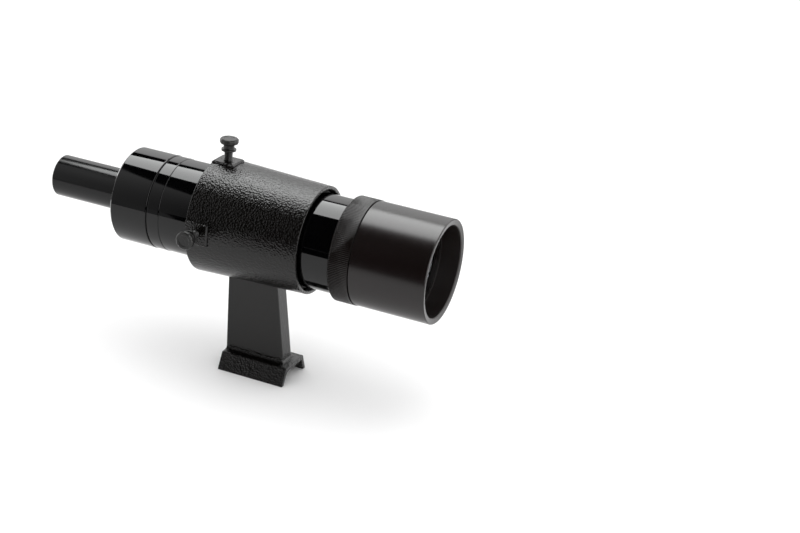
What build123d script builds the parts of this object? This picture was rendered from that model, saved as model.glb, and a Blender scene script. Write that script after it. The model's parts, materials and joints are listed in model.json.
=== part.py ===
from build123d import *
import os

os.makedirs("parts", exist_ok=True)

# Straight-through 50 mm finder scope in a one-screw-per-axis tilting bracket.
# Frame, in mm: origin at the centre of the dovetail foot's seating plane, +X towards
# the sky end of the optical axis, +Z up. A station is a distance along the optical axis.

# ---------------------------------------------------------------- driving dimensions
AXIS_HEIGHT = 89.4          # optical axis above the seating plane
RUNNING = 0.05              # radial clearance of threads and sliding fits

# Dovetail foot and stalk of the bracket casting
FOOT_LENGTH = 42.0
FOOT_HEIGHT = 10.2
FOOT_BASE_WIDTH = 31.6
FOOT_TOP_WIDTH = 22.4
FOOT_WALL = 2.8
STALK_THICKNESS = 12.0
STALK_REAR_TOP = -22.8
STALK_FRONT_BOTTOM = 16.0
STALK_FRONT_TOP = 8.0
STALK_ROUNDING = 1.0
FOOT_FILLET = 1.6

# Bracket barrel
BARREL_REAR = -38.0
BARREL_FRONT = 30.0
BARREL_REAR_RADIUS = 33.7
BARREL_FRONT_RADIUS = 31.4
BARREL_BORE_RADIUS = 30.6
SEAT_BORE_RADIUS = 29.4     # narrower bore that holds the centring ring
SEAT_LENGTH = 11.0
EDGE_BREAK = 0.5

# Adjusters: two thumbscrews at right angles and a spring plunger opposite both
SCREW_STATION = -30.9
PAD_LENGTH = 14.2
PAD_WIDTH = 13.4
PAD_HEIGHT = 34.4           # from the optical axis
PAD_ROOT = 31.2             # where a pad starts, inside the barrel's wall
THREAD_RADIUS = 2.5
TIP_RADIUS = 2.3
TIP_GAP = 0.15              # between a tip and the main tube
TIP_LENGTH = 2.5
COLLAR_HEIGHT = 40.0
COLLAR_THICKNESS = 1.2
COLLAR_RADIUS = 4.3
NECK_RADIUS = 3.1
HEAD_HEIGHT = 44.3
HEAD_THICKNESS = 3.1
HEAD_RADIUS = 5.4
HEAD_BREAK = 0.6

BOSS_HEIGHT = 36.5          # plunger boss, from the optical axis
BOSS_RADIUS = 6.5
SLEEVE_THREAD_RADIUS = 4.0
SLEEVE_HEAD_RADIUS = 5.8
SLEEVE_START = 31.2
SLEEVE_END = 45.0
SLEEVE_CAP = 1.5
GUIDE_LENGTH = 1.4
CHAMBER_RADIUS = 3.3
PIN_RADIUS = 2.5
PIN_FLANGE_START = 35.0
PIN_FLANGE_THICKNESS = 1.0
SPRING_START = 37.4
SPRING_END = 42.0
SPRING_TURNS = 4
SPRING_RADIUS = 2.6
SPRING_WIRE_RADIUS = 0.35

# Main tube and the ring that centres it in the bracket
TUBE_REAR = -58.65
TUBE_FRONT = 75.0
TUBE_RADIUS = 27.4
TUBE_BORE_RADIUS = 26.0
CENTRING_STATION = 25.1     # pivot of the tilting tube
CENTRING_SECTION = 1.18
GROOVE_RADIUS = 27.0
GROOVE_WIDTH = 3.8

# Rear collar, rear cap and eyepiece
CAP_REAR = -90.85
CAP_FRONT = -66.85
CAP_RADIUS = 27.8
CAP_BORE_RADIUS = 25.7
CAP_WALL = 4.0
CAP_BEVEL = 1.3
HUB_RADIUS = 16.0
HUB_FRONT = -82.0
COLLAR_RING_RADIUS = 27.6
SPIGOT_LENGTH = 9.0
COLLAR_BORE_RADIUS = 24.5
EYEPIECE_REAR = -139.85
EYEPIECE_RADIUS = 12.25     # the 0.965 inch size
EYEPIECE_THREAD_RADIUS = 12.0
THREAD_RELIEF = 0.4         # groove between the eyepiece tube and the cap
EYEPIECE_BORE_RADIUS = 11.0
EYEPIECE_FLANGE_RADIUS = 15.5
EYEPIECE_FLANGE_THICKNESS = 1.5
EYE_LENS_REAR = -136.85
EYE_LENS_EDGE = 2.5
FIELD_LENS_REAR = -112.0
FIELD_LENS_EDGE = 2.5
FIELD_STOP_REAR = -100.0
FIELD_STOP_THICKNESS = 3.0
FIELD_STOP_APERTURE = 7.5
WIRE_THICKNESS = 0.12
WIRE_LENGTH = 19.0
SPACER_WALL = 1.2           # of the tube between the eyepiece's lenses
RETAINER_LAND = 1.5         # of the threaded ring behind the field lens
BAFFLE_STATION = 5.0
BAFFLE_RIM = 2.8
BAFFLE_WALL = 0.5
BAFFLE_APERTURE = 17.0

# Lock ring and objective cell
RING_REAR = 48.15
RING_FRONT = 60.55
RING_RADIUS = 30.4
RING_CHAMFER = 0.9
CELL_FRONT = 105.7
CELL_RADIUS = 30.0
HOOD_RADIUS = 26.3
HOOD_REAR = 93.4            # step down to the bore that holds the lenses
LENS_BORE_RADIUS = 25.9
SHOULDER_REAR = 78.0
SHOULDER_THICKNESS = 2.0
SHOULDER_RADIUS = 24.8
LENS_RADIUS = 25.8
LENS_SEAT_GAP = 0.1
FLINT_EDGE = 6.4
FLINT_REAR_BULGE = 0.85
INNER_BULGE = 4.3           # the curve that crown and flint share
CROWN_EDGE = 2.5
CROWN_FRONT_BULGE = 2.2
AIR_GAP = 0.8
SPACER_WIDTH = 0.8
RETAINER_THICKNESS = 2.6
RETAINER_APERTURE = 25.0

# ---------------------------------------------------------------- planes
# Each has its local x along the axis that things are turned about.
OPTICAL = Plane(origin=(0, 0, AXIS_HEIGHT), x_dir=(1, 0, 0), z_dir=(0, -1, 0))


def radial_plane(outward):
    """Turning plane of an adjuster that points outward from the optical axis."""
    outward = Vector(*outward).normalized()
    origin = (SCREW_STATION, 0, AXIS_HEIGHT)
    return Plane(origin=origin, x_dir=outward, z_dir=outward.cross(Vector(1, 0, 0)))


TOP = radial_plane((0, 0, 1))
SIDE = radial_plane((0, -1, 0))
PLUNGER = radial_plane((0, 1, -1))


# ---------------------------------------------------------------- shared operations
def turned(*outline, plane=OPTICAL, mode=Mode.ADD):
    """Turn a closed outline of (distance along the axis, radius) points."""
    with BuildSketch(plane) as section:
        with BuildLine():
            Polyline(*outline, close=True)
        make_face()
    revolve(section.sketch, axis=Axis(plane.origin, plane.x_dir), mode=mode)


def tube(start, end, outer, inner, plane=OPTICAL, mode=Mode.ADD):
    """A plain tube or washer between two stations."""
    turned((start, inner), (start, outer), (end, outer), (end, inner), plane=plane, mode=mode)


def lens(rear_edge, front_edge, radius, rear_bulge, front_bulge):
    """A lens whose two faces swell outwards by the given bulges, or in where negative."""
    rear_vertex = rear_edge - rear_bulge
    front_vertex = front_edge + front_bulge
    with BuildSketch(OPTICAL) as section:
        with BuildLine():
            TangentArc((rear_vertex, 0), (rear_edge, radius), tangent=(0, 1))
            Line((rear_edge, radius), (front_edge, radius))
            TangentArc((front_vertex, 0), (front_edge, radius), tangent=(0, 1))
            Line((front_vertex, 0), (rear_vertex, 0))
        make_face()
    revolve(section.sketch, axis=Axis(OPTICAL.origin, OPTICAL.x_dir))


def facing(plane, height):
    """Plane square to a turning plane's axis, at a height along it."""
    return Plane(origin=plane.origin + plane.x_dir * height, x_dir=(1, 0, 0), z_dir=plane.x_dir)


def across(station):
    """Plane across the optical axis at a station, facing the sky."""
    return Plane(origin=(station, 0, AXIS_HEIGHT), x_dir=(0, 1, 0), z_dir=(1, 0, 0))


def keep(piece, name):
    """Label a finished piece and write it."""
    piece.part.label = name
    export_step(piece.part, f"parts/{name}.step")


# ---------------------------------------------------------------- bracket
SEAT_START = BARREL_FRONT - SEAT_LENGTH
STALK_TOP = AXIS_HEIGHT - SEAT_BORE_RADIUS
FOOT_SLOPE = (FOOT_BASE_WIDTH - FOOT_TOP_WIDTH) / 2 / FOOT_HEIGHT   # run over rise
CHANNEL_HEIGHT = FOOT_HEIGHT - FOOT_WALL
CHANNEL_BASE = FOOT_BASE_WIDTH / 2 - FOOT_WALL
CHANNEL_TOP = CHANNEL_BASE - CHANNEL_HEIGHT * FOOT_SLOPE


def in_stalk_root(edge):
    """True for the edges where the stalk's sides and front meet the foot's top."""
    box = edge.bounding_box()
    flat = box.size.Z < EDGE_BREAK and abs(box.min.Z - FOOT_HEIGHT) < EDGE_BREAK
    beside_stalk = abs(edge.center().Y) <= STALK_THICKNESS / 2 + EDGE_BREAK
    return flat and beside_stalk and edge.center().X > EDGE_BREAK - FOOT_LENGTH / 2 and (
        box.max.X < STALK_FRONT_BOTTOM + EDGE_BREAK
    )


with BuildPart() as bracket:
    # dovetail foot, a trapezoid along X
    with BuildSketch(Plane.YZ.offset(-FOOT_LENGTH / 2)):
        with BuildLine():
            Polyline(
                (-FOOT_BASE_WIDTH / 2, 0),
                (-FOOT_TOP_WIDTH / 2, FOOT_HEIGHT),
                (FOOT_TOP_WIDTH / 2, FOOT_HEIGHT),
                (FOOT_BASE_WIDTH / 2, 0),
                close=True,
            )
        make_face()
    extrude(amount=FOOT_LENGTH)
    foot_top = bracket.faces().sort_by(Axis.Z)[-1]
    fillet(foot_top.edges().filter_by(Axis.X), radius=STALK_ROUNDING)
    # stalk, wider along X at the foot and flush with the foot's rear end
    with BuildSketch(Plane.XZ.offset(-STALK_THICKNESS / 2)):
        with BuildLine():
            Polyline(
                (-FOOT_LENGTH / 2, FOOT_HEIGHT),
                (STALK_REAR_TOP, STALK_TOP),
                (STALK_FRONT_TOP, STALK_TOP),
                (STALK_FRONT_BOTTOM, FOOT_HEIGHT),
                close=True,
            )
        make_face()
    extrude(amount=STALK_THICKNESS)
    stalk_front = bracket.faces().sort_by(Axis.X)[-2]
    upright = stalk_front.edges().filter_by(lambda edge: edge.length > FOOT_LENGTH)
    fillet(upright, radius=STALK_ROUNDING)
    stalk_root = bracket.edges().filter_by(in_stalk_root)
    fillet(stalk_root, radius=FOOT_FILLET)
    # tapered barrel with broken edges
    turned(
        (BARREL_REAR, SEAT_BORE_RADIUS),
        (BARREL_REAR, BARREL_REAR_RADIUS - EDGE_BREAK),
        (BARREL_REAR + EDGE_BREAK, BARREL_REAR_RADIUS),
        (BARREL_FRONT - EDGE_BREAK, BARREL_FRONT_RADIUS),
        (BARREL_FRONT, BARREL_FRONT_RADIUS - EDGE_BREAK),
        (BARREL_FRONT, SEAT_BORE_RADIUS),
    )
    # square pads under the thumbscrews
    for adjuster in (TOP, SIDE):
        with BuildSketch(facing(adjuster, PAD_ROOT)):
            Rectangle(PAD_LENGTH, PAD_WIDTH)
        extrude(amount=PAD_HEIGHT - PAD_ROOT)
    # round boss under the plunger
    with BuildSketch(facing(PLUNGER, PAD_ROOT)):
        Circle(BOSS_RADIUS)
    extrude(amount=BOSS_HEIGHT - PAD_ROOT)
    # bores and the channel under the foot
    tube(BARREL_REAR, SEAT_START, BARREL_BORE_RADIUS, 0, mode=Mode.SUBTRACT)
    tube(SEAT_START, BARREL_FRONT, SEAT_BORE_RADIUS, 0, mode=Mode.SUBTRACT)
    for adjuster in (TOP, SIDE):
        tube(0, PAD_HEIGHT, THREAD_RADIUS + RUNNING, 0, plane=adjuster, mode=Mode.SUBTRACT)
    tube(0, BOSS_HEIGHT, SLEEVE_THREAD_RADIUS + RUNNING, 0, plane=PLUNGER, mode=Mode.SUBTRACT)
    with BuildSketch(Plane.YZ.offset(-FOOT_LENGTH / 2)):
        with BuildLine():
            Polyline(
                (-CHANNEL_BASE, 0),
                (-CHANNEL_TOP, CHANNEL_HEIGHT),
                (CHANNEL_TOP, CHANNEL_HEIGHT),
                (CHANNEL_BASE, 0),
                close=True,
            )
        make_face()
    extrude(amount=FOOT_LENGTH, mode=Mode.SUBTRACT)
keep(bracket, "bracket")

# ---------------------------------------------------------------- adjusters
TIP_START = TUBE_RADIUS + TIP_GAP
SHANK_START = TIP_START + TIP_LENGTH
COLLAR_END = COLLAR_HEIGHT + COLLAR_THICKNESS
HEAD_END = HEAD_HEIGHT + HEAD_THICKNESS

for side_name, adjuster in (("top", TOP), ("side", SIDE)):
    with BuildPart() as thumbscrew:
        turned(
            (SHANK_START, 0),
            (SHANK_START, THREAD_RADIUS),
            (COLLAR_HEIGHT, THREAD_RADIUS),
            (COLLAR_HEIGHT, COLLAR_RADIUS),
            (COLLAR_END, COLLAR_RADIUS),
            (COLLAR_END, NECK_RADIUS),
            (HEAD_HEIGHT - HEAD_BREAK, NECK_RADIUS),
            (HEAD_HEIGHT, HEAD_RADIUS - HEAD_BREAK),
            (HEAD_HEIGHT + HEAD_BREAK, HEAD_RADIUS),
            (HEAD_END - HEAD_BREAK, HEAD_RADIUS),
            (HEAD_END, HEAD_RADIUS - HEAD_BREAK),
            (HEAD_END, 0),
            plane=adjuster,
        )
    keep(thumbscrew, f"{side_name}_thumbscrew")

    with BuildPart() as screw_tip:
        turned(
            (TIP_START, 0),
            (TIP_START + TIP_GAP, TIP_RADIUS - HEAD_BREAK),
            (TIP_START + HEAD_BREAK, TIP_RADIUS),
            (SHANK_START, TIP_RADIUS),
            (SHANK_START, 0),
            plane=adjuster,
        )
    keep(screw_tip, f"{side_name}_screw_tip")

GUIDE_END = SLEEVE_START + GUIDE_LENGTH
PIN_FLANGE_END = PIN_FLANGE_START + PIN_FLANGE_THICKNESS

with BuildPart() as plunger_sleeve:
    turned(
        (SLEEVE_START, PIN_RADIUS + RUNNING),
        (SLEEVE_START, SLEEVE_THREAD_RADIUS),
        (BOSS_HEIGHT, SLEEVE_THREAD_RADIUS),
        (BOSS_HEIGHT, SLEEVE_HEAD_RADIUS),
        (SLEEVE_END - EDGE_BREAK, SLEEVE_HEAD_RADIUS),
        (SLEEVE_END, SLEEVE_HEAD_RADIUS - EDGE_BREAK),
        (SLEEVE_END, 0),
        (SLEEVE_END - SLEEVE_CAP, 0),
        (SLEEVE_END - SLEEVE_CAP, CHAMBER_RADIUS),
        (GUIDE_END, CHAMBER_RADIUS),
        (GUIDE_END, PIN_RADIUS + RUNNING),
        plane=PLUNGER,
    )
keep(plunger_sleeve, "plunger_sleeve")

with BuildPart() as plunger_pin:
    turned(
        (TIP_START, 0),
        (TIP_START + TIP_GAP, PIN_RADIUS - HEAD_BREAK),
        (TIP_START + HEAD_BREAK, PIN_RADIUS),
        (PIN_FLANGE_START, PIN_RADIUS),
        (PIN_FLANGE_START, CHAMBER_RADIUS - RUNNING),
        (PIN_FLANGE_END, CHAMBER_RADIUS - RUNNING),
        (PIN_FLANGE_END, 0),
        plane=PLUNGER,
    )
keep(plunger_pin, "plunger_pin")

SPRING_LENGTH = SPRING_END - SPRING_START
SPRING_BASE = facing(PLUNGER, SPRING_START).origin
with BuildPart() as plunger_spring:
    with BuildLine() as coil:
        Helix(
            pitch=SPRING_LENGTH / SPRING_TURNS,
            height=SPRING_LENGTH,
            radius=SPRING_RADIUS,
            center=SPRING_BASE,
            direction=PLUNGER.x_dir,
        )
    with BuildSketch(Plane(origin=coil.line @ 0, z_dir=coil.line % 0)):
        Circle(SPRING_WIRE_RADIUS)
    sweep(path=coil.line, is_frenet=True)
keep(plunger_spring, "plunger_spring")

# ---------------------------------------------------------------- main tube
GROOVE_START = CENTRING_STATION - GROOVE_WIDTH / 2
GROOVE_END = CENTRING_STATION + GROOVE_WIDTH / 2

with BuildPart() as main_tube:
    tube(TUBE_REAR, TUBE_FRONT, TUBE_RADIUS, TUBE_BORE_RADIUS)
    tube(GROOVE_START, GROOVE_END, TUBE_RADIUS, GROOVE_RADIUS, mode=Mode.SUBTRACT)
keep(main_tube, "main_tube")

with BuildPart() as centring_ring:
    with BuildSketch(OPTICAL) as ring_section:
        with Locations((CENTRING_STATION, SEAT_BORE_RADIUS - CENTRING_SECTION - RUNNING / 2)):
            Circle(CENTRING_SECTION)
    revolve(axis=Axis(OPTICAL.origin, OPTICAL.x_dir))
keep(centring_ring, "centring_ring")

with BuildPart() as light_baffle:
    turned(
        (BAFFLE_STATION, BAFFLE_APERTURE),
        (BAFFLE_STATION, TUBE_BORE_RADIUS - RUNNING),
        (BAFFLE_STATION + BAFFLE_RIM, TUBE_BORE_RADIUS - RUNNING),
        (BAFFLE_STATION + BAFFLE_RIM, TUBE_BORE_RADIUS - BAFFLE_WALL),
        (BAFFLE_STATION + BAFFLE_WALL, TUBE_BORE_RADIUS - BAFFLE_WALL),
        (BAFFLE_STATION + BAFFLE_WALL, BAFFLE_APERTURE),
    )
keep(light_baffle, "light_baffle")

with BuildPart() as rear_collar:
    turned(
        (CAP_FRONT - SPIGOT_LENGTH, COLLAR_BORE_RADIUS),
        (CAP_FRONT - SPIGOT_LENGTH, CAP_BORE_RADIUS - RUNNING),
        (CAP_FRONT, CAP_BORE_RADIUS - RUNNING),
        (CAP_FRONT, COLLAR_RING_RADIUS),
        (TUBE_REAR, COLLAR_RING_RADIUS),
        (TUBE_REAR, TUBE_BORE_RADIUS - RUNNING),
        (TUBE_REAR + SPIGOT_LENGTH, TUBE_BORE_RADIUS - RUNNING),
        (TUBE_REAR + SPIGOT_LENGTH, COLLAR_BORE_RADIUS),
    )
keep(rear_collar, "rear_collar")

with BuildPart() as rear_cap:
    turned(
        (CAP_REAR, EYEPIECE_THREAD_RADIUS + RUNNING),
        (CAP_REAR, CAP_RADIUS - CAP_BEVEL),
        (CAP_REAR + CAP_BEVEL, CAP_RADIUS),
        (CAP_FRONT, CAP_RADIUS),
        (CAP_FRONT, CAP_BORE_RADIUS),
        (CAP_REAR + CAP_WALL, CAP_BORE_RADIUS),
        (CAP_REAR + CAP_WALL, HUB_RADIUS),
        (HUB_FRONT, HUB_RADIUS),
        (HUB_FRONT, EYEPIECE_THREAD_RADIUS + RUNNING),
    )
keep(rear_cap, "rear_cap")

# ---------------------------------------------------------------- eyepiece
STACK_RADIUS = EYEPIECE_BORE_RADIUS - RUNNING
EYE_LENS_BULGE = 0.9
EYE_APERTURE = 8.2
EYE_LENS_FRONT = EYE_LENS_REAR + EYE_LENS_EDGE
FIELD_LENS_FRONT = FIELD_LENS_REAR + FIELD_LENS_EDGE
FIELD_STOP_FRONT = FIELD_STOP_REAR + FIELD_STOP_THICKNESS
FLANGE_FRONT = HUB_FRONT + EYEPIECE_FLANGE_THICKNESS

with BuildPart() as eyepiece_tube:
    turned(
        (EYEPIECE_REAR, EYEPIECE_BORE_RADIUS),
        (EYEPIECE_REAR, EYEPIECE_RADIUS - EDGE_BREAK),
        (EYEPIECE_REAR + EDGE_BREAK, EYEPIECE_RADIUS),
        (CAP_REAR - THREAD_RELIEF, EYEPIECE_RADIUS),
        (CAP_REAR - THREAD_RELIEF, EYEPIECE_THREAD_RADIUS),
        (HUB_FRONT, EYEPIECE_THREAD_RADIUS),
        (HUB_FRONT, EYEPIECE_FLANGE_RADIUS),
        (FLANGE_FRONT, EYEPIECE_FLANGE_RADIUS),
        (FLANGE_FRONT, EYEPIECE_BORE_RADIUS),
    )
keep(eyepiece_tube, "eyepiece_tube")

with BuildPart() as eye_lens_retainer:
    tube(EYEPIECE_REAR + EDGE_BREAK, EYE_LENS_REAR - EDGE_BREAK, STACK_RADIUS, EYE_APERTURE)
keep(eye_lens_retainer, "eye_lens_retainer")

with BuildPart() as eye_lens:
    lens(EYE_LENS_REAR, EYE_LENS_FRONT, STACK_RADIUS, EYE_LENS_BULGE, 2 * EYE_LENS_BULGE)
keep(eye_lens, "eye_lens")

with BuildPart() as eyepiece_spacer:
    tube(
        EYE_LENS_FRONT + EDGE_BREAK,
        FIELD_LENS_REAR - EDGE_BREAK,
        STACK_RADIUS,
        STACK_RADIUS - SPACER_WALL,
    )
keep(eyepiece_spacer, "eyepiece_spacer")

with BuildPart() as field_lens:
    lens(FIELD_LENS_REAR, FIELD_LENS_FRONT, STACK_RADIUS, 2 * EYE_LENS_BULGE, EYE_LENS_BULGE)
keep(field_lens, "field_lens")

with BuildPart() as field_lens_retainer:
    tube(
        FIELD_LENS_FRONT + EDGE_BREAK,
        FIELD_LENS_FRONT + FIELD_STOP_THICKNESS,
        STACK_RADIUS,
        STACK_RADIUS - RETAINER_LAND,
    )
keep(field_lens_retainer, "field_lens_retainer")

with BuildPart() as field_stop:
    tube(FIELD_STOP_REAR, FIELD_STOP_FRONT, STACK_RADIUS, FIELD_STOP_APERTURE)
keep(field_stop, "field_stop")

with BuildPart() as crosshair_wires:
    with BuildSketch(across(FIELD_STOP_FRONT)):
        Rectangle(WIRE_LENGTH, WIRE_THICKNESS)
        Rectangle(WIRE_THICKNESS, WIRE_LENGTH)
    extrude(amount=WIRE_THICKNESS)
keep(crosshair_wires, "crosshair_wires")

# ---------------------------------------------------------------- lock ring and objective cell
with BuildPart() as lock_ring:
    turned(
        (RING_REAR, TUBE_RADIUS + RUNNING),
        (RING_REAR, RING_RADIUS - RING_CHAMFER),
        (RING_REAR + RING_CHAMFER, RING_RADIUS),
        (RING_FRONT, RING_RADIUS),
        (RING_FRONT, TUBE_RADIUS + RUNNING),
    )
keep(lock_ring, "lock_ring")

SHOULDER_FRONT = SHOULDER_REAR + SHOULDER_THICKNESS
RIM_DEPTH = 0.5
with BuildPart() as objective_cell:
    turned(
        (RING_FRONT, TUBE_RADIUS + RUNNING),
        (RING_FRONT, CELL_RADIUS - EDGE_BREAK),
        (RING_FRONT + EDGE_BREAK, CELL_RADIUS),
        (CELL_FRONT - EDGE_BREAK, CELL_RADIUS),
        (CELL_FRONT, CELL_RADIUS - EDGE_BREAK),
        (CELL_FRONT - RIM_DEPTH, HOOD_RADIUS + EDGE_BREAK),
        (CELL_FRONT - 2 * RIM_DEPTH, HOOD_RADIUS),
        (HOOD_REAR, HOOD_RADIUS),
        (HOOD_REAR, LENS_BORE_RADIUS),
        (SHOULDER_FRONT, LENS_BORE_RADIUS),
        (SHOULDER_FRONT, SHOULDER_RADIUS),
        (SHOULDER_REAR, SHOULDER_RADIUS),
        (SHOULDER_REAR, TUBE_RADIUS + RUNNING),
    )
keep(objective_cell, "objective_cell")

FLINT_REAR = SHOULDER_FRONT + LENS_SEAT_GAP
FLINT_FRONT = FLINT_REAR + FLINT_EDGE
CROWN_REAR = FLINT_FRONT + AIR_GAP
CROWN_FRONT = CROWN_REAR + CROWN_EDGE
RETAINER_REAR = CROWN_FRONT + EDGE_BREAK

with BuildPart() as flint_lens:
    lens(FLINT_REAR, FLINT_FRONT, LENS_RADIUS, FLINT_REAR_BULGE, -INNER_BULGE)
keep(flint_lens, "flint_lens")

with BuildPart() as crown_lens:
    lens(CROWN_REAR, CROWN_FRONT, LENS_RADIUS, INNER_BULGE, CROWN_FRONT_BULGE)
keep(crown_lens, "crown_lens")

# a thin cone between the two curved faces, clear of both
SPACER_LEAN = INNER_BULGE * (1 - ((LENS_RADIUS - SPACER_WIDTH) / LENS_RADIUS) ** 2)
with BuildPart() as lens_spacer:
    turned(
        (FLINT_FRONT + RUNNING, LENS_RADIUS),
        (CROWN_REAR - RUNNING, LENS_RADIUS),
        (CROWN_REAR - RUNNING - SPACER_LEAN, LENS_RADIUS - SPACER_WIDTH),
        (FLINT_FRONT + RUNNING - SPACER_LEAN, LENS_RADIUS - SPACER_WIDTH),
    )
keep(lens_spacer, "lens_spacer")

with BuildPart() as objective_retainer:
    tube(RETAINER_REAR, RETAINER_REAR + RETAINER_THICKNESS, LENS_BORE_RADIUS - RUNNING, RETAINER_APERTURE)
keep(objective_retainer, "objective_retainer")
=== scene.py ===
import json
from math import cos, pi, radians, sin, tan

import bmesh
import bpy
import numpy as np
from mathutils import Matrix, Vector

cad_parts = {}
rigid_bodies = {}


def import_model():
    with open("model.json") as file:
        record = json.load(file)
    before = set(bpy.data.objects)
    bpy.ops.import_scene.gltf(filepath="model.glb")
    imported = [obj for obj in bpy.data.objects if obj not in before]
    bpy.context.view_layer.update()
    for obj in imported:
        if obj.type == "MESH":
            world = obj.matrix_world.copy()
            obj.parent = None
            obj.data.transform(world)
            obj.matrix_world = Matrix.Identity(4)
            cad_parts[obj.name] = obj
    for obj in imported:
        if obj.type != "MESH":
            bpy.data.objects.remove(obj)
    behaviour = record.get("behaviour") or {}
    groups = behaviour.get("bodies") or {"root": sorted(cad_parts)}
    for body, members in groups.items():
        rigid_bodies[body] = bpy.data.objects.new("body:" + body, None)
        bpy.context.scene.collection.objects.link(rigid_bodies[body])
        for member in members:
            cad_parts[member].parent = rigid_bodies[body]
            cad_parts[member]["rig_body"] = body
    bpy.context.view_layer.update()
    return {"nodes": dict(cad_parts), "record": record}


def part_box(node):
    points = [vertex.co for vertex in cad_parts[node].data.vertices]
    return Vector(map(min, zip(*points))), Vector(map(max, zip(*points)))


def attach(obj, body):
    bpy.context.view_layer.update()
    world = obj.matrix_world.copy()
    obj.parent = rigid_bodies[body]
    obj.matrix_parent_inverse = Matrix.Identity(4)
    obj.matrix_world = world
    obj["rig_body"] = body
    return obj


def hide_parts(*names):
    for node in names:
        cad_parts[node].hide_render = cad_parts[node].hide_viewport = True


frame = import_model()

# Lengths in this file are in millimetres, in the CAD's frame, and MM turns them into metres.
# +X is the optical axis towards the sky, +Z is up, and -Y is the side nearer the camera.
MM = 0.001


# ---------------------------------------------------------------- places read from the frame
def low(node, axis):
    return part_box(node)[0][axis] / MM


def high(node, axis):
    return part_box(node)[1][axis] / MM


X, Y, Z = 0, 1, 2
AXIS_HEIGHT = (low("main_tube", Z) + high("main_tube", Z)) / 2
SCREW_STATION = (low("top_thumbscrew", X) + high("top_thumbscrew", X)) / 2
RUNNING = 0.05


def radius_of(node):
    return (high(node, Y) - low(node, Y)) / 2


def axis_frame(direction, station):
    """Matrix that takes (distance along an axis, across, across) in mm to metres in the frame.
    The axis leaves the optical axis at the station and points along the direction."""
    along = Vector(direction).normalized()
    other = Vector((0, 0, 1)) if abs(along.x) > 0.5 else Vector((1, 0, 0))
    side = other.cross(along).normalized()
    up = along.cross(side)
    turn = Matrix((along, side, up)).transposed().to_4x4()
    return Matrix.Scale(MM, 4) @ Matrix.Translation((station, 0, AXIS_HEIGHT)) @ turn


OPTICAL = axis_frame((1, 0, 0), 0)
TOP = axis_frame((0, 0, 1), SCREW_STATION)
SIDE = axis_frame((0, -1, 0), SCREW_STATION)
PLUNGER = axis_frame((0, 1, -1), SCREW_STATION)


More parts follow.
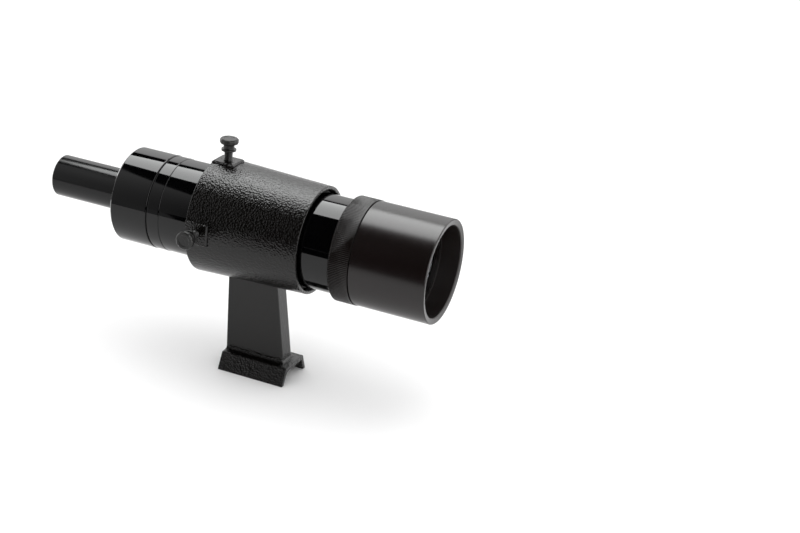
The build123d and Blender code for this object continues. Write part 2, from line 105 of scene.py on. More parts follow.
# ---------------------------------------------------------------- materials
class Shader:
    """A node material around one Principled shader."""

    def __init__(self, name, color, roughness, **inputs):
        self.material = bpy.data.materials.new(name)
        self.material.use_nodes = True
        self.nodes = self.material.node_tree.nodes
        self.links = self.material.node_tree.links
        self.shader = self.nodes["Principled BSDF"]
        self.shader.inputs["Base Color"].default_value = (*color, 1)
        self.shader.inputs["Roughness"].default_value = roughness
        for socket, value in inputs.items():
            self.shader.inputs[socket.replace("_", " ")].default_value = value
        self.place = self.nodes.new("ShaderNodeTexCoord").outputs["Object"]
        self.normal = None

    def mapped(self, scale):
        mapping = self.nodes.new("ShaderNodeMapping")
        mapping.inputs["Scale"].default_value = scale
        self.links.new(self.place, mapping.inputs["Vector"])
        return mapping.outputs["Vector"]

    def noise(self, scale, detail=2.0, rough=0.5, distortion=0.0, stretch=(1, 1, 1)):
        """Noise with about scale bumps per metre."""
        node = self.nodes.new("ShaderNodeTexNoise")
        node.inputs["Scale"].default_value = scale
        node.inputs["Detail"].default_value = detail
        node.inputs["Roughness"].default_value = rough
        node.inputs["Distortion"].default_value = distortion
        self.links.new(self.mapped(stretch), node.inputs["Vector"])
        return node.outputs["Fac"]

    def cells(self, scale, smoothness, warp, warp_scale):
        """Distance to the nearest of about scale cell centres per metre, with warped cells."""
        warping = self.nodes.new("ShaderNodeTexNoise")
        warping.inputs["Scale"].default_value = warp_scale
        self.links.new(self.place, warping.inputs["Vector"])
        move = self.nodes.new("ShaderNodeVectorMath")
        move.operation = "MULTIPLY_ADD"
        move.inputs[1].default_value = (warp, warp, warp)
        self.links.new(warping.outputs["Color"], move.inputs[0])
        self.links.new(self.place, move.inputs[2])
        node = self.nodes.new("ShaderNodeTexVoronoi")
        node.feature = "SMOOTH_F1"
        node.inputs["Scale"].default_value = scale
        node.inputs["Smoothness"].default_value = smoothness
        self.links.new(move.outputs["Vector"], node.inputs["Vector"])
        return node.outputs["Distance"]

    def ranged(self, value, start, end, to_start, to_end):
        """Value from start to end, mapped to the other range and held at its ends."""
        node = self.nodes.new("ShaderNodeMapRange")
        for socket, number in zip(("From Min", "From Max", "To Min", "To Max"), (start, end, to_start, to_end)):
            node.inputs[socket].default_value = number
        self.links.new(value, node.inputs["Value"])
        return node.outputs["Result"]

    def multiply(self, value, other):
        node = self.nodes.new("ShaderNodeMath")
        node.operation = "MULTIPLY"
        self.links.new(value, node.inputs[0])
        self.links.new(other, node.inputs[1])
        return node.outputs["Value"]

    def component(self, axis):
        """One coordinate of the place, in metres."""
        node = self.nodes.new("ShaderNodeSeparateXYZ")
        self.links.new(self.place, node.inputs["Vector"])
        return node.outputs[axis]

    def tint(self, value, first, second):
        """Base colour between two colours as the value goes from 0 to 1."""
        node = self.nodes.new("ShaderNodeMix")
        node.data_type = "RGBA"
        node.inputs["A"].default_value = (*first, 1)
        node.inputs["B"].default_value = (*second, 1)
        self.links.new(value, node.inputs["Factor"])
        self.links.new(node.outputs["Result"], self.shader.inputs["Base Color"])

    def roughen(self, value, smooth, rough):
        self.links.new(self.ranged(value, 0.3, 0.7, smooth, rough), self.shader.inputs["Roughness"])

    def bump(self, value, depth_mm, strength=1.0):
        """Raise the surface by the value times the depth. A later bump adds to an earlier one."""
        node = self.nodes.new("ShaderNodeBump")
        node.inputs["Distance"].default_value = depth_mm * MM
        if isinstance(strength, float):
            node.inputs["Strength"].default_value = strength
        else:
            self.links.new(strength, node.inputs["Strength"])
        self.links.new(value, node.inputs["Height"])
        if self.normal:
            self.links.new(self.normal, node.inputs["Normal"])
        self.normal = node.outputs["Normal"]
        self.links.new(self.normal, self.shader.inputs["Normal"])


# Heights in metres over which the casting's texture changes: under the barrel and above the foot.
UNDER_BARREL = (0.058, 0.062)
ABOVE_FOOT = (0.0105, 0.0125)
FOOT_RELIEF, CASTING_RELIEF, STALK_RELIEF = 1.5, 0.85, 0.3


def wrinkle_paint():
    """Black wrinkle paint on the casting, nearly smooth on the stalk and stronger on the foot."""
    paint = Shader("textured_black", (0.002, 0.002, 0.002), 0.16, Specular_IOR_Level=0.35)
    height = paint.component("Z")
    below_barrel = paint.ranged(height, *UNDER_BARREL, 1.0, 0.0)
    above_foot = paint.ranged(height, *ABOVE_FOOT, 0.0, 1.0)
    on_stalk = paint.multiply(below_barrel, above_foot)
    casting = paint.ranged(above_foot, 0.0, 1.0, FOOT_RELIEF, CASTING_RELIEF)
    relief = paint.multiply(casting, paint.ranged(on_stalk, 0.0, 1.0, 1.0, STALK_RELIEF))
    grain = paint.cells(920.0, 0.12, 0.0005, 1500.0)
    soft = paint.noise(700.0, 2.0)
    fine = paint.noise(2600.0, 2.0)
    paint.bump(grain, 0.25, relief)
    paint.bump(soft, 0.07, relief)
    paint.bump(fine, 0.006, relief)
    paint.tint(paint.ranged(grain, 0.1, 0.7, 0.0, 1.0), (0.0030, 0.0024, 0.0020), (0.0012, 0.0009, 0.0007))
    paint.roughen(soft, 0.13, 0.19)
    return paint.material


def gloss_paint():
    """High-gloss black lacquer, very slightly uneven."""
    paint = Shader("gloss_black", (0.0007, 0.0007, 0.0008), 0.05, Specular_IOR_Level=0.34)
    patches = paint.noise(60.0, 3.0)
    paint.roughen(patches, 0.035, 0.06)
    paint.bump(paint.noise(900.0, 1.0), 0.001)
    paint.bump(paint.noise(6000.0, 2.0), 0.0002)
    paint.tint(patches, (0.0005, 0.0005, 0.0006), (0.0009, 0.0009, 0.0011))
    return paint.material


def satin_anodise(name, dark, light, smooth, rough, marks_mm, specular):
    """Black anodised aluminium with fine turning marks around the optical axis."""
    finish = Shader(name, dark, rough, Specular_IOR_Level=specular)
    marks = finish.noise(90.0, 3.0, 0.6, 0.0, (110, 1, 1))
    blotches = finish.noise(45.0, 3.0)
    finish.tint(blotches, dark, light)
    finish.roughen(marks, smooth, rough)
    finish.bump(marks, marks_mm)
    finish.bump(finish.noise(5200.0, 2.0), 0.0008)
    return finish.material


def blackened_steel():
    steel = Shader("screw_black", (0.005, 0.005, 0.005), 0.3, Specular_IOR_Level=0.32)
    wear = steel.noise(420.0, 4.0, 0.6)
    steel.tint(wear, (0.006, 0.006, 0.006), (0.014, 0.0135, 0.013))
    steel.roughen(wear, 0.24, 0.34)
    steel.bump(steel.noise(3500.0, 3.0), 0.004)
    return steel.material


def plain(name, first, second, smooth, rough, grain, depth_mm, **inputs):
    """A finish whose colour and roughness vary with noise of grain bumps per metre."""
    finish = Shader(name, first, rough, **inputs)
    value = finish.noise(grain, 3.0)
    finish.tint(value, first, second)
    finish.roughen(value, smooth, rough)
    finish.bump(value, depth_mm)
    return finish.material


def coated_glass():
    glass = Shader("coated_glass", (0.93, 0.95, 1.0), 0.0, Transmission_Weight=1.0, IOR=1.52, Specular_IOR_Level=0.1)
    glass.bump(glass.noise(30.0, 1.0), 0.0002)
    return glass.material


MATERIALS = {
    "textured_black": wrinkle_paint(),
    "gloss_black": gloss_paint(),
    "satin_black": satin_anodise(
        "satin_black", (0.0036, 0.0012, 0.0010), (0.0046, 0.0018, 0.0016), 0.24, 0.27, 0.0005, 0.42
    ),
    "matte_black": satin_anodise(
        "matte_black", (0.0030, 0.0017, 0.0014), (0.0042, 0.0026, 0.0023), 0.17, 0.22, 0.001, 0.24
    ),
    "screw_black": blackened_steel(),
    "nylon": plain("nylon", (0.75, 0.74, 0.7), (0.68, 0.67, 0.62), 0.4, 0.5, 600.0, 0.01, Subsurface_Weight=0.1),
    "spring_steel": plain("spring_steel", (0.5, 0.5, 0.5), (0.42, 0.42, 0.43), 0.22, 0.34, 900.0, 0.004, Metallic=1.0),
    "black_rubber": plain("black_rubber", (0.016, 0.016, 0.016), (0.024, 0.024, 0.024), 0.6, 0.75, 1500.0, 0.01),
    "coated_glass": coated_glass(),
    "fine_wire": plain("fine_wire", (0.08, 0.08, 0.08), (0.12, 0.12, 0.12), 0.3, 0.42, 2500.0, 0.002, Metallic=1.0),
}
EYEPIECE_LACQUER = satin_anodise(
    "eyepiece_black", (0.0020, 0.0020, 0.0022), (0.0028, 0.0028, 0.0030), 0.13, 0.16, 0.0003, 0.28
)
HOOD_INSIDE = satin_anodise("hood_inside", (0.0056, 0.0030, 0.0026), (0.0075, 0.0043, 0.0038), 0.4, 0.48, 0.003, 0.3)
SLOT_OF = {part["node"]: part["material_slot"] for part in frame["record"]["subparts"]}
BODY_OF = {node: obj["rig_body"] for node, obj in frame["nodes"].items()}

for node_name, node_object in frame["nodes"].items():
    node_object.data.materials.clear()
    node_object.data.materials.append(MATERIALS[SLOT_OF[node_name]])


# ---------------------------------------------------------------- mesh building
def eased(outline, closed=True, steps=4):
    """Round each corner of an outline of (station, radius, corner radius) points.
    A corner without its own radius gets a fine one, and stays sharp on the turning axis."""
    points = []
    count = len(outline)
    for i, corner in enumerate(outline):
        here = Vector(corner[:2])
        ease = corner[2] if len(corner) > 2 else 0.12
        if not closed and i in (0, count - 1):
            points.append(here)
            continue
        before, after = Vector(outline[i - 1][:2]) - here, Vector(outline[(i + 1) % count][:2]) - here
        angle = before.angle(after)
        if ease <= 0 or angle > radians(176):
            points.append(here)
            continue
        reach = min(ease / tan(angle / 2), 0.42 * before.length, 0.42 * after.length)
        first, last = before.normalized() * reach, after.normalized() * reach
        points.append(here + first * 1.12)
        for step in range(steps + 1):
            t = step / steps
            points.append(here + first * (1 - t) ** 2 + last * t**2)
        points.append(here + last * 1.12)
    return points


def turned(name, outline, matrix=OPTICAL, segments=192, closed=True, relief=None, pitch=None):
    """A mesh turned about the first axis of the matrix from an eased outline.
    An open outline starts and ends on the axis. Relief changes the radius at (angle, station, radius).
    Pitch is the longest step along the outline."""
    line = eased(outline, closed)
    if pitch:
        finer = []
        pairs = list(zip(line, line[1:] + line[:1])) if closed else list(zip(line, line[1:]))
        for start, end in pairs:
            parts = max(1, int((end - start).length / pitch))
            finer += [start.lerp(end, k / parts) for k in range(parts)]
        line = finer if closed else finer + [line[-1]]
    stations = np.array([p.x for p in line])
    radii = np.array([p.y for p in line])
    rows = np.arange(len(line)) if closed else np.arange(1, len(line) - 1)
    angles = np.arange(segments) * 2 * pi / segments
    grid_a, grid_x = np.meshgrid(angles, stations[rows])
    grid_r = np.repeat(radii[rows][:, None], segments, axis=1)
    if relief:
        grid_r = relief(grid_a, grid_x, grid_r)
    co = np.stack([grid_x, grid_r * np.cos(grid_a), grid_r * np.sin(grid_a)], axis=-1).reshape(-1, 3)
    verts = [tuple(v) for v in co]
    faces = []
    ring = len(rows)
    for i in range(ring if closed else ring - 1):
        a, b = i * segments, ((i + 1) % ring) * segments
        for k in range(segments):
            m = (k + 1) % segments
            faces.append((a + k, b + k, b + m, a + m))
    if not closed:
        start, end = len(verts), len(verts) + 1
        verts += [(stations[0], 0, 0), (stations[-1], 0, 0)]
        last = (ring - 1) * segments
        for k in range(segments):
            m = (k + 1) % segments
            faces.append((start, k, m))
            faces.append((end, last + m, last + k))
    mesh = bpy.data.meshes.new(name)
    mesh.from_pydata(verts, [], faces)
    mesh.transform(matrix)
    outwards(mesh)
    mesh.shade_smooth()
    return mesh


def outwards(mesh):
    work = bmesh.new()
    work.from_mesh(mesh)
    bmesh.ops.recalc_face_normals(work, faces=work.faces)
    work.to_mesh(mesh)
    work.free()


def placed(name, mesh):
    piece = bpy.data.objects.new(name, mesh)
    bpy.context.scene.collection.objects.link(piece)
    return piece


def stand_for(node, mesh, material=None):
    """Show a mesh in place of a CAD node, on its body and in its finish."""
    piece = placed(f"{node}_visual", mesh)
    mesh.materials.clear()
    mesh.materials.append(material or MATERIALS[SLOT_OF[node]])
    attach(piece, BODY_OF[node])
    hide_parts(node)
    return piece


# ---------------------------------------------------------------- main tube, collar and cap
TUBE_REAR, TUBE_FRONT, TUBE_RADIUS = low("main_tube", X), high("main_tube", X), radius_of("main_tube")
TUBE_BORE = 26.0
CENTRING = (low("centring_ring", X) + high("centring_ring", X)) / 2
GROOVE_HALF, GROOVE_RADIUS = 1.9, 26.9

stand_for("main_tube", turned("main_tube", [
    (TUBE_REAR, TUBE_BORE),
    (TUBE_REAR, TUBE_RADIUS, 0.08),
    (CENTRING - GROOVE_HALF, TUBE_RADIUS),
    (CENTRING - GROOVE_HALF, GROOVE_RADIUS),
    (CENTRING + GROOVE_HALF, GROOVE_RADIUS),
    (CENTRING + GROOVE_HALF, TUBE_RADIUS),
    (TUBE_FRONT, TUBE_RADIUS, 0.35),
    (TUBE_FRONT, TUBE_BORE),
]))

SECTION = (high("centring_ring", X) - low("centring_ring", X)) / 2
RING_MIDDLE = radius_of("centring_ring") - SECTION
stand_for("centring_ring", turned("centring_ring", [
    (CENTRING + SECTION * cos(k * pi / 8), RING_MIDDLE + SECTION * sin(k * pi / 8), 0) for k in range(16)
]))

CAP_REAR, CAP_FRONT, CAP_RADIUS = low("rear_cap", X), high("rear_cap", X), radius_of("rear_cap")
COLLAR_RADIUS = radius_of("rear_collar")
SPIGOT, SPIGOT_BORE, SPIGOT_IN_CAP, SPIGOT_IN_TUBE = 9.0, 24.5, 25.65, 25.95
SEAM = 0.6
stand_for("rear_collar", turned("rear_collar", [
    (CAP_FRONT - SPIGOT, SPIGOT_BORE),
    (CAP_FRONT - SPIGOT, SPIGOT_IN_CAP),
    (CAP_FRONT, SPIGOT_IN_CAP),
    (CAP_FRONT, COLLAR_RADIUS - SEAM),
    (CAP_FRONT + SEAM, COLLAR_RADIUS - SEAM, 0.15),
    (CAP_FRONT + SEAM, COLLAR_RADIUS, 0.45),
    (TUBE_REAR, COLLAR_RADIUS, 0.55),
    (TUBE_REAR, SPIGOT_IN_TUBE),
    (TUBE_REAR + SPIGOT, SPIGOT_IN_TUBE),
    (TUBE_REAR + SPIGOT, SPIGOT_BORE),
]))

HUB_FRONT, HUB_RADIUS, EYE_THREAD = -82.0, 16.0, 12.0
CAP_BEVEL, CAP_FLOOR, CAP_BORE = 1.3, 4.0, 25.7
stand_for("rear_cap", turned("rear_cap", [
    (CAP_REAR, EYE_THREAD + RUNNING),
    (CAP_REAR, CAP_RADIUS - CAP_BEVEL, 0.5),
    (CAP_REAR + CAP_BEVEL, CAP_RADIUS, 0.5),
    (CAP_FRONT, CAP_RADIUS, 0.6),
    (CAP_FRONT, CAP_BORE),
    (CAP_REAR + CAP_FLOOR, CAP_BORE),
    (CAP_REAR + CAP_FLOOR, HUB_RADIUS),
    (HUB_FRONT, HUB_RADIUS),
    (HUB_FRONT, EYE_THREAD + RUNNING),
]))

# ---------------------------------------------------------------- eyepiece
EYE_REAR = low("eyepiece_tube", X)
EYE_RADIUS, EYE_BORE = 12.25, 11.0
FLANGE_FRONT = high("eyepiece_tube", X)
RELIEF, FLANGE_RADIUS = 0.4, 15.5
stand_for("eyepiece_tube", turned("eyepiece_tube", [
    (EYE_REAR, EYE_BORE),
    (EYE_REAR, EYE_RADIUS - 0.5, 0.2),
    (EYE_REAR + 0.5, EYE_RADIUS, 0.4),
    (CAP_REAR - RELIEF, EYE_RADIUS),
    (CAP_REAR - RELIEF, EYE_THREAD),
    (HUB_FRONT, EYE_THREAD),
    (HUB_FRONT, FLANGE_RADIUS),
    (FLANGE_FRONT, FLANGE_RADIUS),
    (FLANGE_FRONT, EYE_BORE),
], segments=128), EYEPIECE_LACQUER)

RETAINER_REAR, RETAINER_FRONT = low("eye_lens_retainer", X), high("eye_lens_retainer", X)
stand_for("eye_lens_retainer", turned("eye_lens_retainer", [
    (RETAINER_REAR, 9.4, 0.3),
    (RETAINER_REAR, 10.95),
    (RETAINER_FRONT, 10.95),
    (RETAINER_FRONT, 8.2),
    (RETAINER_FRONT - 0.5, 8.2),
], segments=128))


def lens_mesh(node, rear_edge, front_edge, rear_bulge, front_bulge):
    """A lens turned from two spherical faces, with its edge between the two stations."""
    radius = radius_of(node)

    def face(edge, bulge, fractions):
        return [(edge + bulge * (1 - f * f), radius * f, 0) for f in fractions]

    fractions = [k / 16 for k in range(17)]
    outline = face(rear_edge, -rear_bulge, fractions) + face(front_edge, front_bulge, fractions[::-1])
    return turned(node, outline, segments=128, closed=False)


EYE_LENS_REAR = RETAINER_FRONT + 0.5
stand_for("eye_lens", lens_mesh("eye_lens", EYE_LENS_REAR, EYE_LENS_REAR + 2.5, 0.9, 1.8))

# ---------------------------------------------------------------- objective cell and its lock ring
CELL_REAR, CELL_FRONT = low("objective_cell", X), high("objective_cell", X)
CELL_RADIUS = radius_of("objective_cell")
HOOD_RADIUS, HOOD_REAR, LENS_BORE = 26.3, 93.4, 25.9
SHOULDER_REAR, SHOULDER_FRONT, SHOULDER_BORE = 78.0, 80.0, 24.8
DULL_FROM, DULL_MARGIN = 79.0, 0.4
SLIDE_RADIUS = TUBE_RADIUS + RUNNING
cell = stand_for("objective_cell", turned("objective_cell", [
    (CELL_REAR, SLIDE_RADIUS),
    (CELL_REAR, CELL_RADIUS - 0.5, 0.2),
    (CELL_REAR + 0.5, CELL_RADIUS, 0.3),
    (CELL_FRONT - 0.5, CELL_RADIUS, 0.3),
    (CELL_FRONT, CELL_RADIUS - 0.5, 0.3),
    (CELL_FRONT - 0.5, HOOD_RADIUS + 0.5, 0.3),
    (CELL_FRONT - 1.0, HOOD_RADIUS, 0.3),
    (HOOD_REAR, HOOD_RADIUS),
    (HOOD_REAR, LENS_BORE),
    (SHOULDER_FRONT, LENS_BORE),
    (SHOULDER_FRONT, SHOULDER_BORE),
    (SHOULDER_REAR, SHOULDER_BORE),
    (SHOULDER_REAR, SLIDE_RADIUS),
], segments=256))
cell.data.materials.append(HOOD_INSIDE)
for face in cell.data.polygons:
    middle = face.center
    across = Vector((middle.y, middle.z - AXIS_HEIGHT * MM)).length / MM
    if middle.x / MM > DULL_FROM and across < HOOD_RADIUS + DULL_MARGIN:
        face.material_index = 1

FRONT_RING_REAR, FRONT_RING_FRONT = low("objective_retainer", X), high("objective_retainer", X)
stand_for("objective_retainer", turned("objective_retainer", [
    (FRONT_RING_REAR, 25.0),
    (FRONT_RING_REAR, 25.85),
    (FRONT_RING_FRONT, 25.85),
    (FRONT_RING_FRONT, 25.0),
], segments=256))

CROWN_REAR = 87.3
stand_for("crown_lens", lens_mesh("crown_lens", CROWN_REAR, CROWN_REAR + 2.5, 4.3, 2.2))

# The ring stops just short of the cell, so that their faces don't touch as the tube tilts.
RING_GAP = 0.04
RING_REAR, RING_FRONT = low("lock_ring", X), high("lock_ring", X) - RING_GAP
RING_RADIUS = radius_of("lock_ring")
RIBS = 176
RIB_DEPTH = 0.42
RIB_CREST = 0.4
RING_CHAMFER = 0.9


def straight_knurl(angle, station, radius):
    """Ribs along the axis that fade out on the chamfer and near the front edge."""
    across = np.abs(2 * ((angle * RIBS / (2 * pi)) % 1) - 1)
    wave = np.clip((across - RIB_CREST) / (1 - RIB_CREST), 0, 1)
    inside = np.clip((station - RING_REAR - 0.35) / 0.6, 0, 1) * np.clip((RING_FRONT - 0.25 - station) / 0.4, 0, 1)
    outer = np.clip((radius - RING_RADIUS + RING_CHAMFER) / 0.5, 0, 1)
    return radius - RIB_DEPTH * wave * inside * outer


stand_for("lock_ring", turned("lock_ring", [
    (RING_REAR, SLIDE_RADIUS),
    (RING_REAR, RING_RADIUS - RING_CHAMFER, 0.2),
    (RING_REAR + RING_CHAMFER, RING_RADIUS, 0.2),
    (RING_FRONT, RING_RADIUS, 0.15),
    (RING_FRONT, SLIDE_RADIUS),
], segments=RIBS * 10, relief=straight_knurl))

# ---------------------------------------------------------------- thumbscrews and plunger
THREAD_PITCH, THREAD_DEPTH = 0.8, 0.3
SHANK_RADIUS, COLLAR_HEIGHT, HEAD_HEIGHT = 2.5, 40.0, 44.3
SCALLOPS = 12


def thumbscrew(node, matrix, start, end):
    """A thumbscrew from start to end along its axis: threaded shank, collar, neck and scalloped head."""

    def relief(angle, station, radius):
        thread = np.abs(((station / THREAD_PITCH - angle / (2 * pi)) % 1) * 2 - 1)
        on_shank = np.clip((COLLAR_HEIGHT - 0.5 - station) / 0.4, 0, 1) * np.clip((radius - 2.2) / 0.2, 0, 1)
        scallop = np.clip((radius - 4.4) / 0.8, 0, 1) * np.clip((station - HEAD_HEIGHT) / 0.3, 0, 1)
        return radius - THREAD_DEPTH * thread * on_shank - 0.16 * scallop * (0.5 - 0.5 * np.cos(SCALLOPS * angle))

    return stand_for(node, turned(node, [
        (start, 0),
        (start, SHANK_RADIUS),
        (COLLAR_HEIGHT - 0.5, SHANK_RADIUS, 0.1),
        (COLLAR_HEIGHT, SHANK_RADIUS - 0.1),
        (COLLAR_HEIGHT, 4.3, 0.35),
        (COLLAR_HEIGHT + 1.2, 4.3, 0.35),
        (COLLAR_HEIGHT + 1.4, 3.1, 0.4),
        (HEAD_HEIGHT - 0.6, 3.1, 0.4),
        (HEAD_HEIGHT, 4.8, 0.4),
        (HEAD_HEIGHT + 0.5, 5.4, 0.5),
        (end - 0.7, 5.4, 0.6),
        (end - 0.05, 4.6, 0.4),
        (end - 0.05, 3.4, 0.3),
        (end - 0.3, 3.0, 0.3),
        (end - 0.3, 0),
    ], matrix, segments=144, closed=False, relief=relief, pitch=0.13))


thumbscrew("top_thumbscrew", TOP, low("top_thumbscrew", Z) - AXIS_HEIGHT, high("top_thumbscrew", Z) - AXIS_HEIGHT)
thumbscrew("side_thumbscrew", SIDE, -high("side_thumbscrew", Y), -low("side_thumbscrew", Y))

SLEEVE_START, SLEEVE_END, BOSS_HEIGHT = 31.2, 45.0, 36.5
SLEEVE_RIBS, SLEEVE_RIB_DEPTH = 36, 0.22
SLEEVE_THREAD, SLEEVE_HEAD, SLEEVE_GUIDE, SLEEVE_CHAMBER = 4.0, 5.8, 2.55, 3.3


def sleeve_knurl(angle, station, radius):
    ribbed = np.clip((radius - 5.0) / 0.6, 0, 1) * np.clip((station - BOSS_HEIGHT - 0.6) / 0.4, 0, 1)
    before_end = np.clip((SLEEVE_END - 0.9 - station) / 0.4, 0, 1)
    return radius - SLEEVE_RIB_DEPTH * ribbed * before_end * (0.5 - 0.5 * np.cos(SLEEVE_RIBS * angle))


stand_for("plunger_sleeve", turned("plunger_sleeve", [
    (SLEEVE_START, SLEEVE_GUIDE),
    (SLEEVE_START, SLEEVE_THREAD),
    (BOSS_HEIGHT, SLEEVE_THREAD),
    (BOSS_HEIGHT, SLEEVE_HEAD, 0.4),
    (SLEEVE_END, SLEEVE_HEAD, 0.6),
    (SLEEVE_END, 2.6, 0.2),
    (SLEEVE_END - 0.9, 2.4, 0.2),
    (SLEEVE_END - 0.9, 0.02),
    (SLEEVE_END - 1.5, 0.02),
    (SLEEVE_END - 1.5, SLEEVE_CHAMBER),
    (SLEEVE_START + 1.4, SLEEVE_CHAMBER),
    (SLEEVE_START + 1.4, SLEEVE_GUIDE),
], PLUNGER, segments=SLEEVE_RIBS * 8, relief=sleeve_knurl, pitch=0.5))

# ---------------------------------------------------------------- bracket
BARREL_REAR, BARREL_FRONT = -38.0, 30.0
BARREL_REAR_RADIUS, BARREL_FRONT_RADIUS = 33.7, 31.4
BARREL_BORE, SEAT_BORE, SEAT_START = 30.6, 29.4, 19.0
PAD_ROOT, PAD_TOP, PAD_LENGTH, PAD_WIDTH = 31.2, 34.4, 14.2, 13.4
PAD_CHAMFER = 0.75
BOSS_RADIUS = 6.5
FOOT_HALF = 21.0
FOOT_BEVEL = 0.4
FOOT_HEIGHT, FOOT_BASE, FOOT_TOP, FOOT_WALL = 10.2, 31.6, 22.4, 2.8
STALK_HALF = 6.0
STALK_TOP = AXIS_HEIGHT - SEAT_BORE
STALK_REAR = (-21.0, -22.8)
STALK_FRONT = (16.0, 8.0)
STALK_FILLET = 1.6


def prism(name, corners, start, end, bevel):
    """An outline of (y, z, corner radius), extruded along x, with its end edges bevelled."""
    loop = eased(corners, steps=3)
    work = bmesh.new()
    near = [work.verts.new((start, p.x, p.y)) for p in loop]
    far = [work.verts.new((end, p.x, p.y)) for p in loop]
    ends = [work.faces.new(near), work.faces.new(far[::-1])]
    count = len(loop)
    for i in range(count):
        m = (i + 1) % count
        work.faces.new((near[i], far[i], far[m], near[m]))
    bmesh.ops.recalc_face_normals(work, faces=work.faces)
    rim = list({edge for face in ends for edge in face.edges})
    bmesh.ops.bevel(work, geom=rim, offset=bevel, segments=3, profile=0.5, affect="EDGES", clamp_overlap=True)
    mesh = bpy.data.meshes.new(name)
    work.to_mesh(mesh)
    work.free()
    return mesh


def bracket_barrel():
    return turned("barrel", [
        (BARREL_REAR, BARREL_BORE - 2.0, 0),
        (BARREL_REAR, BARREL_REAR_RADIUS, 0.55),
        (BARREL_FRONT, BARREL_FRONT_RADIUS, 0.55),
        (BARREL_FRONT, SEAT_BORE - 2.0, 0),
    ], segments=256)


def bracket_bore():
    """What is cut from the casting along the optical axis."""
    return turned("bore", [
        (BARREL_REAR - 1.0, 0, 0),
        (BARREL_REAR - 1.0, BARREL_BORE + 1.3, 0),
        (BARREL_REAR + 0.3, BARREL_BORE, 0.1),
        (SEAT_START, BARREL_BORE, 0.1),
        (SEAT_START, SEAT_BORE, 0.1),
        (BARREL_FRONT - 0.4, SEAT_BORE, 0.1),
        (BARREL_FRONT + 1.0, SEAT_BORE + 1.4, 0),
        (BARREL_FRONT + 1.0, 0, 0),
    ], segments=256, closed=False)


def bracket_foot():
    slope = (FOOT_BASE - FOOT_TOP) / 2 / FOOT_HEIGHT
    inner_base = FOOT_BASE / 2 - FOOT_WALL
    inner_height = FOOT_HEIGHT - FOOT_WALL
    inner_top = inner_base - inner_height * slope
    mesh = prism("foot", [
        (-FOOT_BASE / 2, 0, 0.5),
        (-FOOT_TOP / 2, FOOT_HEIGHT, 1.0),
        (FOOT_TOP / 2, FOOT_HEIGHT, 1.0),
        (FOOT_BASE / 2, 0, 0.5),
        (inner_base, 0, 0.4),
        (inner_top, inner_height, 0.8),
        (-inner_top, inner_height, 0.8),
        (-inner_base, 0, 0.4),
    ], -FOOT_HALF, FOOT_HALF, FOOT_BEVEL)
    mesh.transform(Matrix.Scale(MM, 4))
    return mesh


def lofted(name, loops, matrix):
    """A closed mesh through loops of points that all have the same count."""
    count = len(loops[0])
    verts = [point for loop in loops for point in loop]
    faces = []
    for i in range(len(loops) - 1):
        for k in range(count):
            m = (k + 1) % count
            faces.append((i * count + k, i * count + m, (i + 1) * count + m, (i + 1) * count + k))
    faces.append(tuple(range(count))[::-1])
    faces.append(tuple(range((len(loops) - 1) * count, len(loops) * count)))
    mesh = bpy.data.meshes.new(name)
    mesh.from_pydata(verts, [], faces)
    mesh.transform(matrix)
    outwards(mesh)
    return mesh


def bracket_stalk():
    """A column of rounded oblongs, flaring into the foot at the sides and the front."""
    levels = []
    for k in range(7):
        angle = k / 6 * pi / 2
        levels.append((FOOT_HEIGHT + STALK_FILLET * (1 - cos(angle)), STALK_FILLET * (1 - sin(angle))))
    levels = [(FOOT_HEIGHT - 0.6, STALK_FILLET)] + levels + [(FOOT_HEIGHT + 2.2, 0.0), (STALK_TOP, 0.0)]
    loops = []
    for height, flare in levels:
        t = (height - FOOT_HEIGHT) / (STALK_TOP - FOOT_HEIGHT)
        rear = STALK_REAR[0] + (STALK_REAR[1] - STALK_REAR[0]) * max(t, 0) + 0.02
        front = STALK_FRONT[0] + (STALK_FRONT[1] - STALK_FRONT[0]) * t + flare
        half = STALK_HALF + flare
        loop = eased([(rear, -half, 0.6), (front, -half, 1.2), (front, half, 1.2), (rear, half, 0.6)])
        loops.append([(p.x, p.y, height) for p in loop])
    return lofted("stalk", loops, Matrix.Scale(MM, 4))


def bracket_pad(matrix):
    """A square pad with a wide chamfer around its top."""
    levels = [(PAD_ROOT - 0.6, 0.0), (PAD_TOP - PAD_CHAMFER, 0.0), (PAD_TOP, PAD_CHAMFER)]
    loops = []
    for height, inset in levels:
        half_l, half_w = PAD_LENGTH / 2 - inset, PAD_WIDTH / 2 - inset
        loop = eased([(-half_l, -half_w, 0.5), (half_l, -half_w, 0.5), (half_l, half_w, 0.5), (-half_l, half_w, 0.5)])
        loops.append([(height, p.y, p.x) for p in loop])
    return lofted("pad", loops, matrix)


def along(matrix, name, start, end, radius, ease=0.0):
    """A plain round bar along an axis, for the boss and for drilling."""
    return turned(name, [(start, 0), (start, radius, ease), (end, radius, ease), (end, 0)], matrix, 64, closed=False)


def combined(base, steps):
    """Apply a list of (operation, mesh) to a mesh and return the result."""
    body = placed("casting", base)
    tools = []
    for i, (operation, mesh) in enumerate(steps):
        tool = placed(f"tool_{i}", mesh)
        tools.append(tool)
        cut = body.modifiers.new(f"step_{i}", "BOOLEAN")
        cut.operation, cut.object, cut.solver = operation, tool, "EXACT"
    graph = bpy.context.evaluated_depsgraph_get()
    result = bpy.data.meshes.new_from_object(body.evaluated_get(graph), depsgraph=graph)
    for obj in [body, *tools]:
        bpy.data.objects.remove(obj)
    return result


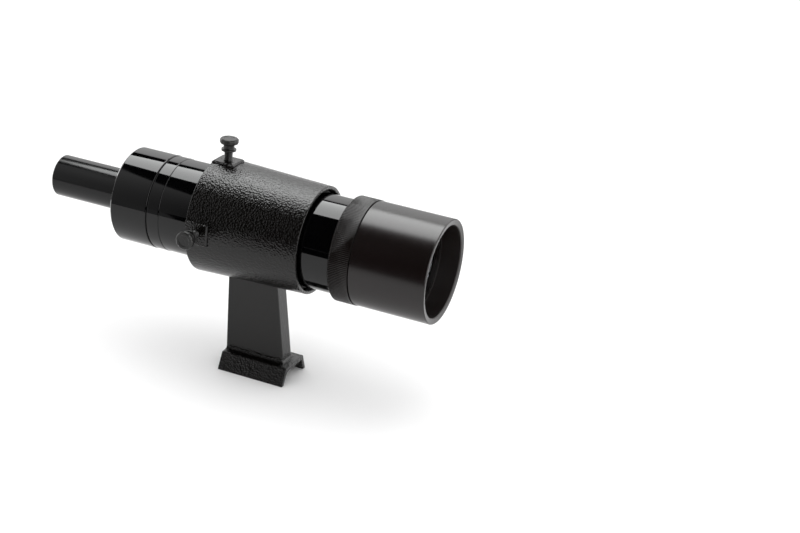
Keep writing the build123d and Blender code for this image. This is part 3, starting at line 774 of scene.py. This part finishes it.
casting = combined(bracket_barrel(), [
    ("UNION", bracket_stalk()),
    ("UNION", bracket_foot()),
    ("UNION", bracket_pad(TOP)),
    ("UNION", bracket_pad(SIDE)),
    ("UNION", along(PLUNGER, "boss", PAD_ROOT, BOSS_HEIGHT, BOSS_RADIUS, 0.5)),
    ("DIFFERENCE", bracket_bore()),
    ("DIFFERENCE", along(TOP, "drill_top", 0, PAD_TOP + 2, SHANK_RADIUS + RUNNING)),
    ("DIFFERENCE", along(SIDE, "drill_side", 0, PAD_TOP + 2, SHANK_RADIUS + RUNNING)),
    ("DIFFERENCE", along(PLUNGER, "drill_plunger", 0, BOSS_HEIGHT + 2, SLEEVE_THREAD + RUNNING)),
])
casting.shade_smooth()
casting.set_sharp_from_angle(angle=radians(38))
bracket = stand_for("bracket", casting)
flatten = bracket.modifiers.new("flat_faces", "WEIGHTED_NORMAL")
flatten.keep_sharp = True

# ---------------------------------------------------------------- floor, light and camera
FLOOR_HALF = 5.0


def flat_mesh(name, corners):
    mesh = bpy.data.meshes.new(name)
    mesh.from_pydata(corners, [], [tuple(range(len(corners)))])
    return mesh


floor = placed("studio_floor", flat_mesh("studio_floor", [
    (-FLOOR_HALF, -FLOOR_HALF, 0), (FLOOR_HALF, -FLOOR_HALF, 0),
    (FLOOR_HALF, FLOOR_HALF, 0), (-FLOOR_HALF, FLOOR_HALF, 0),
]))
floor_paint = Shader("floor_white", (0.94, 0.94, 0.94), 0.9, Specular_IOR_Level=0.1)
floor_paint.bump(floor_paint.noise(300.0, 2.0), 0.02)
floor.data.materials.append(floor_paint.material)


# What the gloss reflects and what lights the floor are set apart, as flags and panels do in a studio.
def only_reflected(thing):
    """Keep a thing out of the camera's view, the shadows and the diffuse light."""
    thing.visible_camera = thing.visible_shadow = thing.visible_diffuse = False


def glow_material(name, first, last, axis="Z", start=0.0, end=1.0):
    """Light given off by a surface, from a first to a last radiance between two places in metres."""
    glow = Shader(name, (0, 0, 0), 1.0, Specular_IOR_Level=0.0)
    strength = glow.ranged(glow.component(axis), start, end, first, last)
    glow.shader.inputs["Emission Color"].default_value = (1, 1, 1, 1)
    glow.links.new(strength, glow.shader.inputs["Emission Strength"])
    return glow.material


def reflected_card(name, corners, material):
    """A flat card seen only in reflections."""
    card = placed(name, flat_mesh(name, corners))
    card.data.materials.append(material)
    only_reflected(card)


# The white table ends in front of the scope, with darkness beyond it and a dim wall at the left.
TABLE_FRONT = -0.36
reflected_card("table_edge_card", [
    (-4, -4, 0.002), (4, -4, 0.002), (4, TABLE_FRONT, 0.002), (-4, TABLE_FRONT, 0.002),
], glow_material("dark_beyond_table", 0.0, 0.0))
reflected_card("dim_floor_left", [
    (-4, -4, 0.003), (-2.1, -4, 0.003), (-0.22, TABLE_FRONT, 0.003), (-4, TABLE_FRONT, 0.003),
], glow_material("dim_beyond_table", 0.4, 0.4))
reflected_card("dim_wall_left", [
    (-0.62, -1.32, 0.0), (-0.62, -0.1, 0.0), (-0.62, -0.1, 1.04), (-0.62, -1.32, 1.04),
], glow_material("dim_left", 0.12, 0.95, "Y", -1.32, -0.45))
reflected_card("pale_wall_left", [
    (-0.8, -0.1, 0.0), (-0.8, 0.6, 0.0), (-0.8, 0.6, 0.85), (-0.8, -0.1, 0.85),
], glow_material("pale_left", 2.4, 2.4))
reflected_card("pale_wall_right", [
    (0.8, -1.3, 0.0), (0.8, 1.6, 0.0), (0.8, 1.6, 1.3), (0.8, -1.3, 1.3),
], glow_material("pale_right", 3.0, 3.0))
reflected_card("backdrop_glow", [
    (-3, 1.6, 0.0), (0.8, 1.6, 0.0), (0.8, 1.6, 1.66), (-3, 1.6, 1.66),
], glow_material("backdrop", 0.65, 2.1, "Z", 0.1, 1.3))

WORLD_RADIANCE = 1.08
world = bpy.data.worlds.new("studio")
world.use_nodes = True
world.node_tree.nodes["Background"].inputs["Color"].default_value = (1, 1, 1, 1)
world.node_tree.nodes["Background"].inputs["Strength"].default_value = WORLD_RADIANCE
world.cycles_visibility.glossy = False
world.cycles_visibility.transmission = False
bpy.context.scene.world = world


def overhead_light(name, shape, place, width, depth, radiance, color=(1, 1, 1)):
    """An area light of the given radiance, facing down."""
    light = bpy.data.lights.new(name, "AREA")
    light.shape = shape
    light.size, light.size_y = width, depth
    light.energy = radiance * pi * width * depth * (pi / 4 if shape == "ELLIPSE" else 1)
    light.color = color
    lamp = bpy.data.objects.new(name, light)
    lamp.location = place
    bpy.context.scene.collection.objects.link(lamp)
    return lamp


softbox = overhead_light("round_softbox", "ELLIPSE", (-0.28, 0.29, 0.92), 0.74, 0.80, 8.6, (0.985, 1.0, 0.995))
softbox.visible_diffuse = False
key = overhead_light("soft_key", "RECTANGLE", (-0.05, -0.02, 1.0), 1.0, 1.0, 1.2)
key.visible_glossy = False

# Camera: direction, tilt and pan of the photograph, from the fit of the finder's own outlines.
AZIMUTH, ELEVATION, ROLL = radians(20.12), radians(22.68), radians(6.36)
CAMERA_DISTANCE = 0.9239
PAN_RIGHT, PAN_UP = -0.0762, 0.0227
SENSOR, LENS = 36.0, 72.88
TARGET = Vector((-0.00385, 0, AXIS_HEIGHT * MM))

back = Vector((sin(AZIMUTH) * cos(ELEVATION), -cos(AZIMUTH) * cos(ELEVATION), sin(ELEVATION)))
level = Vector((cos(AZIMUTH), sin(AZIMUTH), 0))
upright = back.cross(level)
right = cos(ROLL) * level + sin(ROLL) * upright
up = -sin(ROLL) * level + cos(ROLL) * upright
camera_data = bpy.data.cameras.new("photo_camera")
camera_data.sensor_width, camera_data.lens = SENSOR, LENS
camera_data.clip_start, camera_data.clip_end = 0.01, 30
camera = bpy.data.objects.new("photo_camera", camera_data)
bpy.context.scene.collection.objects.link(camera)
place = TARGET + back * CAMERA_DISTANCE - right * PAN_RIGHT - up * PAN_UP
camera.matrix_world = Matrix.Translation(place) @ Matrix((right, up, back)).transposed().to_4x4()
bpy.context.scene.camera = camera
bpy.context.scene.view_settings.view_transform = "Standard"
bpy.context.scene.view_settings.look = "None"
